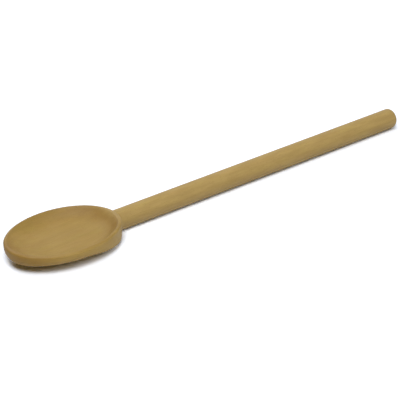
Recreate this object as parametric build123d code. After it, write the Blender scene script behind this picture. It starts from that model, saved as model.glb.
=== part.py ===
from build123d import *
import os
from math import cos, pi, sin

# A wooden spoon cut from one board, lying on a table with its hollow upwards.
# +X runs from the tip of the bowl to the end of the handle and +Z is up.
# The origin is on the table, under the middle of the spoon's length.
# Every size is in millimetres.

# Overall
spoon_length = 300.0
bowl_length = 76.5
bowl_width = 53.2
bowl_height = 13.4

# Underside: an upright edge band, a rounded knee and a belly that slopes in to a flat oval sole.
# The band takes a share of the outline's height, and a knee with more weight is sharper.
sole_width = 16.0
sole_inset_at_tip = 30.0
sole_inset_at_neck = 3.0
sole_trim = 0.3
band_share_at_side = 0.485
band_share_at_tip = 0.69
band_share_at_neck = 1.0
knee_weight = 2.5
knee_weight_at_neck = 6.0
tip_growth = 3.7
neck_growth = 1.15

# Rim: the crest lies a little inside the widest outline and the edge rolls down to it
rim_roll_width = 1.4
rim_roll_width_at_tip = 2.0
rim_roll_width_at_neck = 2.2
rim_roll_drop = 1.2

# Hollow: a wall that eases into a nearly flat floor, most gently at the tip
hollow_depth = 6.5
hollow_reach = 44.0
floor_power_at_side = 7.0
floor_power_at_tip = 4.0
floor_power_at_neck = 6.0
crest_power = 1.1
crest_power_at_neck = 1.5
hollow_growth = 1.5
flat_floor_share = 0.05

# Handle: turned round, a shade thinner than the board
handle_diameter = 13.0
handle_lift = 0.1
handle_end_radius = 3.0

# Flare: eases the sides of the handle into the end wall of the bowl
flare_reach = 1.5
flare_root_depth = 2.2
flare_growth = 1.9

# How finely the skins are described
points_per_ring = 24
flank_rings = 14
roll_rings = 5
hollow_rings = 12
flare_rings = 4

tip_x = -spoon_length / 2
neck_x = tip_x + bowl_length
flare_x = neck_x + flare_reach
hollow_x = tip_x + hollow_reach
outline_height = bowl_height - rim_roll_drop
handle_radius = handle_diameter / 2
axis_height = handle_lift + handle_radius
quarter_turn = pi / 2


def ring(place):
    """A closed smooth curve through place(turn), one point for each step of a full turn."""
    points = [place(2 * pi * step / points_per_ring) for step in range(points_per_ring)]
    return Wire([Edge.make_spline([Vector(*point) for point in points], periodic=True)])


def oval(turn, tip_inset, neck_inset, side_inset):
    """A point on the bowl's outline, drawn in by an inset at the tip, neck and sides."""
    half_length = (bowl_length - tip_inset - neck_inset) / 2
    half_width = bowl_width / 2 - side_inset
    middle_x = tip_x + tip_inset + half_length
    return middle_x + half_length * cos(turn), half_width * sin(turn)


def blend(turn, at_side, at_tip, at_neck, growth_to_tip, growth_to_neck):
    """A value that changes from the bowl's sides towards its tip and its neck."""
    at_end = at_neck if cos(turn) > 0 else at_tip
    growth = growth_to_neck if cos(turn) > 0 else growth_to_tip
    return at_side + (at_end - at_side) * abs(cos(turn)) ** growth


def flank_point(turn, share):
    """The flank, from the widest outline at share 0 round the knee to the sole at share 1."""
    band = blend(turn, band_share_at_side, band_share_at_tip, band_share_at_neck, tip_growth, neck_growth)
    weight = blend(turn, knee_weight, knee_weight, knee_weight_at_neck, tip_growth, neck_growth)
    outline_part = (1 - share) ** 2
    knee_part = 2 * weight * share * (1 - share)
    sole_part = share**2
    total = outline_part + knee_part + sole_part
    width_share = (outline_part + knee_part) / total
    depth_share = (knee_part * band + sole_part) / total
    x, y = oval(turn, 0, 0, 0)
    sole_side_inset = (bowl_width - sole_width) / 2
    sole_x, sole_y = oval(turn, sole_inset_at_tip, sole_inset_at_neck, sole_side_inset)
    height = outline_height - (outline_height + sole_trim) * depth_share
    return sole_x + (x - sole_x) * width_share, sole_y + (y - sole_y) * width_share, height


def roll_point(turn, share):
    """The rolled edge, from the widest outline at share 0 up to the crest at share 1."""
    inset_share = 1 - cos(quarter_turn * share)
    tip_inset = rim_roll_width_at_tip * inset_share
    neck_inset = rim_roll_width_at_neck * inset_share
    x, y = oval(turn, tip_inset, neck_inset, rim_roll_width * inset_share)
    return x, y, outline_height + rim_roll_drop * sin(quarter_turn * share)


def hollow_point(turn, share):
    """The hollow, from the crest at share 1 to the deepest point at share 0."""
    x, y, crest_height = roll_point(turn, 1)
    growth = hollow_growth
    floor_power = blend(turn, floor_power_at_side, floor_power_at_tip, floor_power_at_neck, growth, growth)
    softness = blend(turn, crest_power, crest_power, crest_power_at_neck, growth, growth)
    wall_share = (share - flat_floor_share) / (1 - flat_floor_share)
    height = crest_height - hollow_depth * (1 - wall_share**floor_power) ** softness
    return hollow_x + (x - hollow_x) * share, y * share, height


def make_bowl():
    """One skin from the sole, round the flank, over the rim and down into the hollow."""
    flank_shares = [(1 + cos(pi * step / flank_rings)) / 2 for step in range(flank_rings + 1)]
    roll_shares = [step / roll_rings for step in range(1, roll_rings + 1)]
    hollow_shares = [1 - (step / hollow_rings) ** 2 for step in range(1, hollow_rings)]
    hollow_shares.append(flat_floor_share)
    rings = [ring(lambda turn: flank_point(turn, share)) for share in flank_shares]
    rings += [ring(lambda turn: roll_point(turn, share)) for share in roll_shares]
    rings += [ring(lambda turn: hollow_point(turn, share)) for share in hollow_shares]
    below_table = Pos(tip_x + bowl_length / 2, 0) * Box(
        2 * bowl_length, 2 * bowl_width, bowl_height, align=(Align.CENTER, Align.CENTER, Align.MAX)
    )
    return Solid.make_loft(rings) - below_table


def make_flare():
    """Ovals as high as the handle that widen from its root to the end wall of the bowl."""
    ovals = []
    for step in range(flare_rings + 1):
        share = step / flare_rings
        plane = Plane.YZ.offset(flare_x - (flare_reach + flare_root_depth) * share)
        half_width = handle_radius + flare_growth * share**2
        ovals.append(plane * Pos(0, axis_height) * Ellipse(half_width, handle_radius))
    return loft(ovals)


def make_handle():
    """A round stick with a rounded end, from the flare to the far end."""
    stick = Plane.YZ.offset(flare_x) * Pos(0, axis_height) * Cylinder(
        handle_radius, spoon_length / 2 - flare_x, align=(Align.CENTER, Align.CENTER, Align.MIN)
    )
    end_edge = stick.edges().filter_by(GeomType.CIRCLE).sort_by(Axis.X)[-1]
    return fillet(end_edge, handle_end_radius)


spoon = make_bowl() + make_flare() + make_handle()
print("solids", len(spoon.solids()), "valid", spoon.is_valid, "volume", spoon.volume)

os.makedirs("parts", exist_ok=True)
export_step(spoon, "parts/spoon.step")
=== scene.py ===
import math
import bpy
import bmesh
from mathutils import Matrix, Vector

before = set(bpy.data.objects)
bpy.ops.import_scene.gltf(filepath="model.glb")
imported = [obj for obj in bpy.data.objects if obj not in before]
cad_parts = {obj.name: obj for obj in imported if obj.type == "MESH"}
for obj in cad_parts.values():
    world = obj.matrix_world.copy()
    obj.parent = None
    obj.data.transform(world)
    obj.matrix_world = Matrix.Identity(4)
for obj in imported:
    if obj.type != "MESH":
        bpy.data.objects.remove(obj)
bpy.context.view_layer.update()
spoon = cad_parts["spoon"]

# A camera with a long lens, in front of the bowl and to its left, fitted to the photograph
cameraSetup = {
    "place": (-0.70556, -0.89676, 0.63238),  # metres
    "yaw": 0.6600,  # radians from +Y towards +X
    "pitch": 0.5090,  # radians below the horizon
    "lens": 189.19,  # millimetres
    "sensor": 36,  # millimetres across
    "clip": (0.05, 20),  # metres
}


def makeCamera(setup):
    lens = bpy.data.cameras.new("camera")
    lens.lens = setup["lens"]
    lens.sensor_width = setup["sensor"]
    lens.sensor_fit = "HORIZONTAL"
    lens.clip_start, lens.clip_end = setup["clip"]
    camera = bpy.data.objects.new("camera", lens)
    camera.location = setup["place"]
    camera.rotation_euler = (math.pi / 2 - setup["pitch"], 0, -setup["yaw"])
    bpy.context.scene.collection.objects.link(camera)
    bpy.context.scene.camera = camera


makeCamera(cameraSetup)
print("camera placed")

# Small helpers for wiring nodes, which are laid out in columns and rows
nodeGrid = {"column": 190, "row": 210}  # pixels of the node editor


def placeNode(node, column, row):
    node.location = (column * nodeGrid["column"], -row * nodeGrid["row"])


def addNode(tree, kind, column, row, **settings):
    node = tree.nodes.new(kind)
    placeNode(node, column, row)
    for name, value in settings.items():
        setattr(node, name, value)
    return node


def feed(tree, socket, value):
    if isinstance(value, bpy.types.NodeSocket):
        tree.links.new(value, socket)
    else:
        socket.default_value = value


def addMath(tree, operation, column, row, *values):
    node = addNode(tree, "ShaderNodeMath", column, row, operation=operation)
    for socket, value in zip(node.inputs, values):
        feed(tree, socket, value)
    return node.outputs[0]


def addSplit(tree, column, row, vector):
    node = addNode(tree, "ShaderNodeSeparateXYZ", column, row)
    tree.links.new(vector, node.inputs[0])
    return node.outputs


def addRange(tree, column, row, value, low, high, toLow=0.0, toHigh=1.0):
    node = addNode(tree, "ShaderNodeMapRange", column, row, interpolation_type="SMOOTHSTEP")
    tree.links.new(value, node.inputs["Value"])
    node.inputs["From Min"].default_value = low
    node.inputs["From Max"].default_value = high
    node.inputs["To Min"].default_value = toLow
    node.inputs["To Max"].default_value = toHigh
    return node.outputs["Result"]


def addStretch(tree, column, row, vector, factors, shift=(0, 0, 0)):
    node = addNode(tree, "ShaderNodeMapping", column, row)
    tree.links.new(vector, node.inputs["Vector"])
    node.inputs["Location"].default_value = shift
    node.inputs["Scale"].default_value = factors
    return node.outputs["Vector"]


def addNoise(tree, column, row, vector, detail, roughness=0.5):
    node = addNode(tree, "ShaderNodeTexNoise", column, row)
    tree.links.new(vector, node.inputs["Vector"])
    node.inputs["Scale"].default_value = 1  # the stretch before it sets the scale
    node.inputs["Detail"].default_value = detail
    node.inputs["Roughness"].default_value = roughness
    return node.outputs


def addTint(tree, column, row, factor, colour, tint, blend="MIX"):
    node = addNode(tree, "ShaderNodeMix", column, row, data_type="RGBA", blend_type=blend)
    tree.links.new(factor, node.inputs["Factor"])
    for socket, value in ((node.inputs["A"], colour), (node.inputs["B"], tint)):
        feed(tree, socket, (*value, 1) if isinstance(value, tuple) else value)
    return node.outputs["Result"]


# 1 for the camera's view, also in reflections and through clear pieces, and 0 for lighting
def addSeen(tree):
    path = addNode(tree, "ShaderNodeLightPath", 0, 0).outputs
    seen = addMath(tree, "MAXIMUM", 1, 0, path["Is Camera Ray"], path["Is Glossy Ray"])
    return addMath(tree, "MAXIMUM", 2, 0, seen, path["Is Transmission Ray"])


def newGroup(name, inputs, outputs):
    group = bpy.data.node_groups.new(name, "ShaderNodeTree")
    for socketName, kind, value in inputs:
        socket = group.interface.new_socket(name=socketName, in_out="INPUT", socket_type=kind)
        if value is not None:
            socket.default_value = value
    for socketName in outputs:
        group.interface.new_socket(name=socketName, in_out="OUTPUT", socket_type="NodeSocketFloat")
    start = addNode(group, "NodeGroupInput", 0, 0)
    end = addNode(group, "NodeGroupOutput", 12, 0)
    return group, start.outputs, end.inputs


def placeGroup(tree, group, column, row, vector, **values):
    node = addNode(tree, "ShaderNodeGroup", column, row, node_tree=group)
    tree.links.new(vector, node.inputs["Vector"])
    for name, value in values.items():
        node.inputs[name].default_value = value
    return node


# Growth rings round a heart that lies far below the board
ringPattern = {
    "waveStretch": (6, 22, 22),  # waves in a metre, along the grain and across it
    "waveDetail": 1.5,
    "noiseMiddle": (0.5, 0.5, 0.5),
    "textureSpacing": math.pi / 10,  # the wave texture's own spacing at scale 1, metres
    "lateShares": (0.35, 1.0),  # of a ring, over which the late wood darkens slowly
    "lineShare": 0.12,  # of a ring, over which it ends at a soft line
}


def makeRingGroup(pattern):
    group, start, end = newGroup(
        "growth rings",
        [
            ("Vector", "NodeSocketVector", None),
            ("Spacing", "NodeSocketFloat", 0.003),
            ("Wander", "NodeSocketFloat", 0.004),
        ],
        ["Rings"],
    )
    wave = addStretch(group, 1, 1, start["Vector"], pattern["waveStretch"])
    shove = addNoise(group, 2, 1, wave, pattern["waveDetail"])["Color"]
    centred = addNode(group, "ShaderNodeVectorMath", 3, 1, operation="SUBTRACT")
    group.links.new(shove, centred.inputs[0])
    centred.inputs[1].default_value = pattern["noiseMiddle"]
    scaled = addNode(group, "ShaderNodeVectorMath", 4, 1, operation="SCALE")
    group.links.new(centred.outputs[0], scaled.inputs[0])
    group.links.new(start["Wander"], scaled.inputs["Scale"])
    moved = addNode(group, "ShaderNodeVectorMath", 5, 0, operation="ADD")
    group.links.new(start["Vector"], moved.inputs[0])
    group.links.new(scaled.outputs[0], moved.inputs[1])
    rings = addNode(
        group, "ShaderNodeTexWave", 7, 0, wave_type="RINGS", rings_direction="X", wave_profile="SAW"
    )
    group.links.new(moved.outputs[0], rings.inputs["Vector"])
    scale = addMath(group, "DIVIDE", 6, 1, pattern["textureSpacing"], start["Spacing"])
    group.links.new(scale, rings.inputs["Scale"])
    late = addRange(group, 8, 0, rings.outputs["Fac"], *pattern["lateShares"])
    line = addRange(group, 8, 1, rings.outputs["Fac"], 0.0, pattern["lineShare"], 1.0, 0.0)
    group.links.new(addMath(group, "MAXIMUM", 9, 0, late, line), end["Rings"])
    return group


# Long fine streaks along the grain, and broad soft ones
fibrePattern = {
    "fineStretch": (45, 1700, 1700),
    "broadStretch": (60, 400, 400),
    "broadShift": (3, 1, 7),
    "detail": 3,
    "roughness": 0.6,
    "contrast": (0.3, 0.7),  # the noise between these becomes 0 to 1
}


def makeFibreGroup(pattern):
    group, start, end = newGroup(
        "wood fibres",
        [("Vector", "NodeSocketVector", None)],
        ["Fine", "Broad"],
    )
    thin = addStretch(group, 1, 0, start["Vector"], pattern["fineStretch"])
    wide = addStretch(group, 1, 1, start["Vector"], pattern["broadStretch"], pattern["broadShift"])
    for row, name, stretched in ((0, "Fine", thin), (1, "Broad", wide)):
        noise = addNoise(group, 2, row, stretched, pattern["detail"], pattern["roughness"])["Fac"]
        group.links.new(addRange(group, 3, row, noise, *pattern["contrast"]), end[name])
    return group


# Short dark ray flecks and pores, cut lengthways by the surface
fleckPattern = {
    "stretch": (330, 1900, 1900),
    "edge": 0.12,  # how softly a fleck ends, as a share of a cell
}


def makeFleckGroup(pattern):
    group, start, end = newGroup(
        "ray flecks",
        [
            ("Vector", "NodeSocketVector", None),
            ("Fill", "NodeSocketFloat", 0.3),
        ],
        ["Flecks"],
    )
    cells = addNode(group, "ShaderNodeTexVoronoi", 2, 0, feature="F1")
    stretched = addStretch(group, 1, 0, start["Vector"], pattern["stretch"])
    group.links.new(stretched, cells.inputs["Vector"])
    cells.inputs["Scale"].default_value = 1
    near = addMath(group, "SUBTRACT", 3, 0, start["Fill"], cells.outputs["Distance"])
    group.links.new(addRange(group, 4, 0, near, 0.0, pattern["edge"]), end["Flecks"])
    return group


# Tone and warmth that drift over centimetres, as they do within one board
blotchPattern = {
    "toneStretch": (28, 75, 75),
    "toneRoughness": 0.55,
    "warmthStretch": (70, 170, 170),
    "warmthShift": (9, 4, 2),
    "warmthRoughness": 0.6,
    "detail": 2,
    "contrast": (0.25, 0.75),
}


def makeBlotchGroup(pattern):
    group, start, end = newGroup(
        "soft blotches",
        [("Vector", "NodeSocketVector", None)],
        ["Tone", "Warmth"],
    )
    slow = addStretch(group, 1, 0, start["Vector"], pattern["toneStretch"])
    tone = addNoise(group, 2, 0, slow, pattern["detail"], pattern["toneRoughness"])["Fac"]
    group.links.new(addRange(group, 3, 0, tone, *pattern["contrast"]), end["Tone"])
    quick = addStretch(group, 1, 1, start["Vector"], pattern["warmthStretch"], pattern["warmthShift"])
    warmth = addNoise(group, 2, 1, quick, pattern["detail"], pattern["warmthRoughness"])["Fac"]
    group.links.new(addRange(group, 3, 1, warmth, *pattern["contrast"]), end["Warmth"])
    return group


# Painted shade on the crest of the bowl's rim and at the end of the handle, where hands and pots also
# rub the wood smoother
shadeAndWearPattern = {
    "crestShares": (0.15, 1.0),  # of the crest's band, over which the painted shade and wear fade
    "endShares": (0.1, 1.0),  # of the band at the handle's end
    "patchStretch": (260, 260, 260),
    "patchDetail": 2,
    "patchRoughness": 0.6,
    "patchContrast": (0.3, 0.65),
    "leastWear": 0.35,
}


def makeWearGroup(pattern):
    group, start, end = newGroup(
        "rim shade and wear",
        [
            ("Vector", "NodeSocketVector", None),
            ("Crest Height", "NodeSocketFloat", 0.0134),  # metres, as the next four
            ("Crest Band", "NodeSocketFloat", 0.0009),
            ("Neck", "NodeSocketFloat", -0.074),
            ("Handle End", "NodeSocketFloat", 0.15),
            ("End Band", "NodeSocketFloat", 0.006),
        ],
        ["Wear"],
    )
    place = addSplit(group, 1, 0, start["Vector"])
    below = addMath(group, "SUBTRACT", 2, 0, start["Crest Height"], place["Z"])
    depth = addMath(group, "DIVIDE", 3, 0, below, start["Crest Band"])
    crest = addRange(group, 4, 0, depth, *pattern["crestShares"], 1.0, 0.0)
    onBowl = addMath(group, "LESS_THAN", 4, 1, place["X"], start["Neck"])
    rim = addMath(group, "MULTIPLY", 5, 0, crest, onBowl)
    fromEnd = addMath(group, "SUBTRACT", 2, 2, start["Handle End"], place["X"])
    endShare = addMath(group, "DIVIDE", 3, 2, fromEnd, start["End Band"])
    handleEnd = addRange(group, 4, 2, endShare, *pattern["endShares"], 1.0, 0.0)
    stretched = addStretch(group, 4, 3, start["Vector"], pattern["patchStretch"])
    patches = addNoise(group, 5, 2, stretched, pattern["patchDetail"], pattern["patchRoughness"])["Fac"]
    uneven = addRange(group, 6, 2, patches, *pattern["patchContrast"], pattern["leastWear"], 1.0)
    # painted shade on the rim's crest and at the handle's end; the same places are smoother from rubbing
    shadedAndWorn = addMath(group, "MAXIMUM", 6, 0, rim, handleEnd)
    group.links.new(addMath(group, "MULTIPLY", 7, 0, shadedAndWorn, uneven), end["Wear"])
    return group


# The bowl is darker than the handle, in patches, and painted shade darkens its tip where the surface
# faces the tip and near its end
bowlTintAndTipShadePattern = {
    "patchStretch": (55, 110, 110),
    "patchDetail": 3,
    "patchRoughness": 0.55,
    "patchContrast": (0.25, 0.7),
    "leastBowlTint": 0.75,
    "upwardSlant": (0.2, 0.8),  # how far the surface faces up, from the sides' tint to the hollow's
    "tipwardSlant": (0.0, 0.8),
    "tipReach": (0.001, 0.014),  # metres from the tip over which the painted shade fades
    "tipShare": 0.8,
}


def makeBowlTintAndTipShadeGroup(pattern):
    group, start, end = newGroup(
        "bowl tint and painted tip shade",
        [
            ("Vector", "NodeSocketVector", None),
            ("Normal", "NodeSocketVector", None),
            ("Bowl Tip", "NodeSocketFloat", -0.15),  # metres, as the next two
            ("Neck", "NodeSocketFloat", -0.0745),
            ("Reach", "NodeSocketFloat", 0.007),
        ],
        ["Bowl", "Upward", "Tip"],
    )
    place = addSplit(group, 1, 0, start["Vector"])
    facing = addSplit(group, 1, 2, start["Normal"])
    fromNeck = addMath(group, "SUBTRACT", 2, 0, start["Neck"], place["X"])
    neckShare = addMath(group, "DIVIDE", 3, 0, fromNeck, start["Reach"])
    onBowl = addRange(group, 4, 0, neckShare, 0.0, 1.0)
    stretched = addStretch(group, 2, 1, start["Vector"], pattern["patchStretch"])
    patches = addNoise(group, 3, 1, stretched, pattern["patchDetail"], pattern["patchRoughness"])["Fac"]
    uneven = addRange(group, 4, 1, patches, *pattern["patchContrast"], pattern["leastBowlTint"], 1.0)
    bowl = addMath(group, "MULTIPLY", 5, 0, onBowl, uneven)
    group.links.new(bowl, end["Bowl"])
    group.links.new(addRange(group, 3, 2, facing["Z"], *pattern["upwardSlant"]), end["Upward"])
    outward = addMath(group, "MULTIPLY", 3, 3, facing["X"], -1.0)
    tipward = addRange(group, 4, 3, outward, *pattern["tipwardSlant"])
    fromTip = addMath(group, "SUBTRACT", 2, 4, place["X"], start["Bowl Tip"])
    nearTip = addRange(group, 4, 4, fromTip, *pattern["tipReach"], pattern["tipShare"], 0.0)
    # painted shade where the bowl faces its tip and near the tip's end
    tipShadeMask = addMath(group, "MAXIMUM", 5, 3, tipward, nearTip)
    group.links.new(addMath(group, "MULTIPLY", 6, 3, tipShadeMask, bowl), end["Tip"])
    return group


# Pale beech, sanded and left without varnish
woodFinish = {
    "early": (0.412, 0.280, 0.087),  # linear colours
    "late": (0.345, 0.226, 0.066),
    "streak": (0.330, 0.214, 0.062),
    "fleck": (0.245, 0.150, 0.043),
    "rosy": (0.402, 0.248, 0.083),
    "olive": (0.385, 0.282, 0.071),
    # painted shade on the rim's crest and at the handle's end
    "shadedAndWorn": (0.330, 0.212, 0.058),
    "endGrain": (0.300, 0.205, 0.064),
    "upwardBowlTint": (0.80, 0.75, 0.53),  # the bowl's tints and the painted tip shade are factors on the colour
    "sidewardBowlTint": (0.95, 0.90, 0.64),
    # painted shade on the bowl's tip
    "paintedTipShade": (0.76, 0.64, 0.29),
    "heart": (0.006, 0.041),  # how far the heart lies aside and below, metres
    "ringSpacing": 0.0031,
    "ringWander": 0.004,
    "fleckFill": 0.26,
    "toneShare": 0.5,
    "ringShare": 0.25,
    "streakShare": 0.7,
    "tintedStreakShare": 0.5,  # what the bowl's tint leaves of the streaks
    "fleckShare": 0.5,
    "shadedAndWornShare": 0.5,
    "endGrainShare": 0.5,
    "endGrainSlant": (0.35, 1.0),  # how far the surface faces along the grain
    "roughness": 0.58,
    "fibreRoughness": 0.08,  # its whole swing from fibre to fibre
    "rubbedRoughness": 0.1,  # what rubbing takes off
    "specular": 0.4,
    "bump": 0.25,
    "bumpDepth": 0.00012,
}


def makeWood(finish):
    material = bpy.data.materials.new("wood")
    material.use_nodes = True
    tree = material.node_tree
    shader = tree.nodes["Principled BSDF"]
    placeNode(shader, 14, 0)
    placeNode(tree.nodes["Material Output"], 16, 0)
    coordinates = addNode(tree, "ShaderNodeTexCoord", 0, 0)
    place = coordinates.outputs["Object"]
    aside, below = finish["heart"]
    fromHeart = addStretch(tree, 1, 0, place, (1, 1, 1), (0, aside, below))
    spacing, wander = finish["ringSpacing"], finish["ringWander"]
    rings = placeGroup(tree, makeRingGroup(ringPattern), 2, 0, fromHeart, Spacing=spacing, Wander=wander)
    fibres = placeGroup(tree, makeFibreGroup(fibrePattern), 2, 1, place).outputs
    flecks = placeGroup(tree, makeFleckGroup(fleckPattern), 2, 2, place, Fill=finish["fleckFill"])
    blotches = placeGroup(tree, makeBlotchGroup(blotchPattern), 2, 3, place).outputs
    shadeAndWear = placeGroup(tree, makeWearGroup(shadeAndWearPattern), 2, 4, place).outputs["Wear"]
    bowlTintAndTipShade = placeGroup(tree, makeBowlTintAndTipShadeGroup(bowlTintAndTipShadePattern), 2, 6, place)
    tree.links.new(coordinates.outputs["Normal"], bowlTintAndTipShade.inputs["Normal"])

    # Where the fibres end at the surface, on the bowl's ends and the handle's end, the wood is darker
    facing = addSplit(tree, 2, 5, coordinates.outputs["Normal"])
    along = addMath(tree, "ABSOLUTE", 3, 5, facing["X"])
    endGrain = addRange(tree, 4, 5, along, *finish["endGrainSlant"])

    ringShare = addMath(tree, "MULTIPLY", 4, 0, rings.outputs["Rings"], finish["ringShare"])
    streakShare = addMath(tree, "MULTIPLY", 4, 1, fibres["Broad"], finish["streakShare"])
    calm = addRange(tree, 3, 7, bowlTintAndTipShade.outputs["Bowl"], 0.0, 1.0, 1.0, finish["tintedStreakShare"])
    streakShare = addMath(tree, "MULTIPLY", 5, 1, streakShare, calm)
    fleckShare = addMath(tree, "MULTIPLY", 4, 2, flecks.outputs["Flecks"], finish["fleckShare"])
    shadedAndWornShare = addMath(tree, "MULTIPLY", 4, 4, shadeAndWear, finish["shadedAndWornShare"])
    endShare = addMath(tree, "MULTIPLY", 5, 5, endGrain, finish["endGrainShare"])
    hue = addTint(tree, 5, 3, blotches["Warmth"], finish["olive"], finish["rosy"])
    tone = addMath(tree, "MULTIPLY", 5, 4, blotches["Tone"], finish["toneShare"])
    colour = addTint(tree, 6, 0, tone, finish["early"], hue)
    colour = addTint(tree, 7, 0, ringShare, colour, finish["late"])
    colour = addTint(tree, 8, 0, streakShare, colour, finish["streak"])
    colour = addTint(tree, 9, 0, endShare, colour, finish["endGrain"])
    colour = addTint(tree, 10, 0, fleckShare, colour, finish["fleck"])
    # Painted shade on the crest of the rim and at the end of the handle
    colour = addTint(tree, 11, 0, shadedAndWornShare, colour, finish["shadedAndWorn"])
    # The bowl darker than the handle, more where it faces up than where it faces sideways or down
    bowlTint = addTint(tree, 11, 1, bowlTintAndTipShade.outputs["Upward"], finish["sidewardBowlTint"], finish["upwardBowlTint"])
    colour = addTint(tree, 12, 0, bowlTintAndTipShade.outputs["Bowl"], colour, bowlTint, "MULTIPLY")
    # Painted shade on the bowl's tip, where it faces the tip and near its end
    colour = addTint(tree, 13, 0, bowlTintAndTipShade.outputs["Tip"], colour, finish["paintedTipShade"], "MULTIPLY")
    tree.links.new(colour, shader.inputs["Base Color"])

    # Fibres and pores are rougher, and the rubbed places a little smoother
    leastRough = finish["roughness"] - finish["fibreRoughness"] / 2
    rough = addMath(tree, "MULTIPLY_ADD", 7, 2, fibres["Fine"], finish["fibreRoughness"], leastRough)
    rubbed = addMath(tree, "MULTIPLY", 7, 3, shadeAndWear, finish["rubbedRoughness"])
    tree.links.new(addMath(tree, "SUBTRACT", 8, 2, rough, rubbed), shader.inputs["Roughness"])
    shader.inputs["Specular IOR Level"].default_value = finish["specular"]

    # The fibres stand a little proud, and the flecks and pores are sunk
    raised = addMath(tree, "SUBTRACT", 9, 3, fibres["Fine"], flecks.outputs["Flecks"])
    bump = addNode(tree, "ShaderNodeBump", 10, 3)
    bump.inputs["Strength"].default_value = finish["bump"]
    bump.inputs["Distance"].default_value = finish["bumpDepth"]
    tree.links.new(raised, bump.inputs["Height"])
    tree.links.new(bump.outputs["Normal"], shader.inputs["Normal"])
    return material


wood = makeWood(woodFinish)
for slot in spoon.material_slots:
    slot.material = wood
print("wood made and put on the spoon")

# A plain white sheet, which the camera sees just white where no shadow falls
floorSetup = {
    "halfSize": 3.0,  # metres
    "colour": (0.82, 0.82, 0.82),
    "seenColour": (1.18, 1.235, 1.34),  # a touch cool, as the wood throws yellow light into its shadow
}


def makeFloor(setup):
    shape = bmesh.new()
    bmesh.ops.create_grid(shape, x_segments=1, y_segments=1, size=setup["halfSize"])
    mesh = bpy.data.meshes.new("floor")
    shape.to_mesh(mesh)
    shape.free()
    floor = bpy.data.objects.new("floor", mesh)
    bpy.context.scene.collection.objects.link(floor)
    paper = bpy.data.materials.new("white sheet")
    paper.use_nodes = True
    tree = paper.node_tree
    tree.nodes.remove(tree.nodes["Principled BSDF"])
    colour = addTint(tree, 3, 0, addSeen(tree), setup["colour"], setup["seenColour"])
    diffuse = addNode(tree, "ShaderNodeBsdfDiffuse", 4, 0)
    tree.links.new(colour, diffuse.inputs["Color"])
    tree.links.new(diffuse.outputs["BSDF"], tree.nodes["Material Output"].inputs["Surface"])
    mesh.materials.append(paper)


makeFloor(floorSetup)
print("floor laid")

# Six broad soft panels give all the light; the world only looks white and gives none
lightSetup = {
    "target": (-0.02, 0, 0),  # metres
    "distance": 2.4,
    "panelSize": 1.05,
    "panels": {  # turn and height in degrees, power in watts
        "top panel": (180, 75, 7.0),
        "left panel": (225, 60, 34.6),
        "front panel": (270, 45, 10.6),
        "right panel": (315, 45, 5.4),
        "back panel": (90, 45, 12.9),
        "far panel": (45, 45, 4.4),
    },
}


def makeLights(setup):
    world = bpy.data.worlds.new("light tent")
    bpy.context.scene.world = world
    world.use_nodes = True
    tree = world.node_tree
    tree.nodes["Background"].inputs["Color"].default_value = (1, 1, 1, 1)
    tree.links.new(addSeen(tree), tree.nodes["Background"].inputs["Strength"])
    for name, (turn, height, power) in setup["panels"].items():
        lamp = bpy.data.lights.new(name, "AREA")
        lamp.shape = "DISK"
        lamp.size = setup["panelSize"]
        lamp.energy = power
        turn, height = math.radians(turn), math.radians(height)
        level = math.cos(height)
        away = Vector((math.cos(turn) * level, math.sin(turn) * level, math.sin(height)))
        lampObject = bpy.data.objects.new(name, lamp)
        lampObject.location = Vector(setup["target"]) + away * setup["distance"]
        lampObject.rotation_euler = (-away).to_track_quat("-Z", "Y").to_euler()
        bpy.context.scene.collection.objects.link(lampObject)


makeLights(lightSetup)
bpy.context.scene.view_settings.view_transform = "Standard"
print("lights set")
